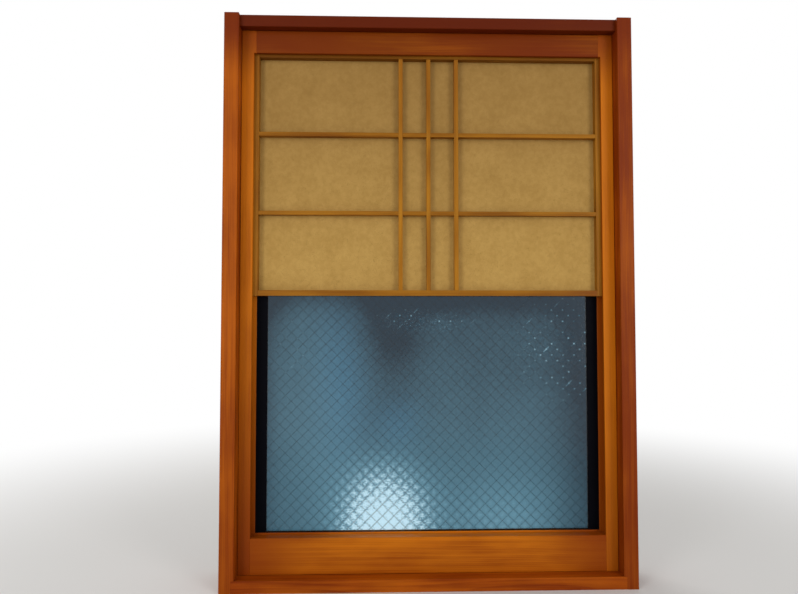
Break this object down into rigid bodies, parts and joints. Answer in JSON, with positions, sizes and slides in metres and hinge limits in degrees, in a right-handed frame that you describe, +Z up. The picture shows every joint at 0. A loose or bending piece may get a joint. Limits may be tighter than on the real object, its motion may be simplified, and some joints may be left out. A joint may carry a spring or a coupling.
{
  "type": "shoji sliding screen",
  "caption": "Shoji screen in its wooden opening frame, with a fixed papered lattice above a wired glass pane, and a papered lattice panel that slides up and down in front of them.",
  "frame": {"origin": "middle of the frame's footprint, at its base", "axes": "+X to the right seen from the room, +Y from the room into the wall, +Z up"},
  "size_m": [0.844, 0.115, 1.175],
  "materials": {
    "frame_wood": "clear oiled red-brown cedar",
    "leaf_wood": "clear oiled orange-brown cedar",
    "lattice_wood": "planed orange-brown cedar",
    "washi_paper": "matt tan paper with mottled fibres",
    "wired_glass": "figured, with a diagonal wire mesh",
    "black_channel": "satin black",
    "spring_steel": "plain",
    "brass": "plain"
  },
  "bodies": {
    "frame": {"head": "frame_wood", "sill": "frame_wood", "left_jamb": "frame_wood", "right_jamb": "frame_wood", "frame_screws": "spring_steel", "leaf_left_stile": "leaf_wood", "leaf_right_stile": "leaf_wood", "leaf_top_rail": "leaf_wood", "leaf_middle_rail": "leaf_wood", "leaf_bottom_rail": "leaf_wood", "upper_upright_bar_1": "lattice_wood", "upper_upright_bar_2": "lattice_wood", "upper_upright_bar_3": "lattice_wood", "upper_level_bar_1": "lattice_wood", "upper_level_bar_2": "lattice_wood", "upper_paper": "washi_paper", "glass_pane": "wired_glass", "glass_left_channel": "black_channel", "glass_right_channel": "black_channel", "glass_bottom_channel": "black_channel", "glass_top_channel": "black_channel", "left_bead": "leaf_wood", "right_bead": "leaf_wood", "bottom_bead": "leaf_wood", "top_bead": "leaf_wood", "bead_nails": "brass"},
    "panel": {"panel_left_stile": "lattice_wood", "panel_right_stile": "lattice_wood", "panel_top_rail": "lattice_wood", "panel_bottom_rail": "lattice_wood", "panel_upright_bar_1": "lattice_wood", "panel_upright_bar_2": "lattice_wood", "panel_upright_bar_3": "lattice_wood", "panel_level_bar_1": "lattice_wood", "panel_level_bar_2": "lattice_wood", "panel_paper": "washi_paper", "lower_left_spring": "spring_steel", "upper_left_spring": "spring_steel", "lower_right_spring": "spring_steel", "upper_right_spring": "spring_steel"}
  },
  "joints": [
    {"name": "panel_slide", "type": "slide", "parent": "frame", "child": "panel", "axis": [0, 0, 1], "range_m": [-0.495, 0]}
  ]
}
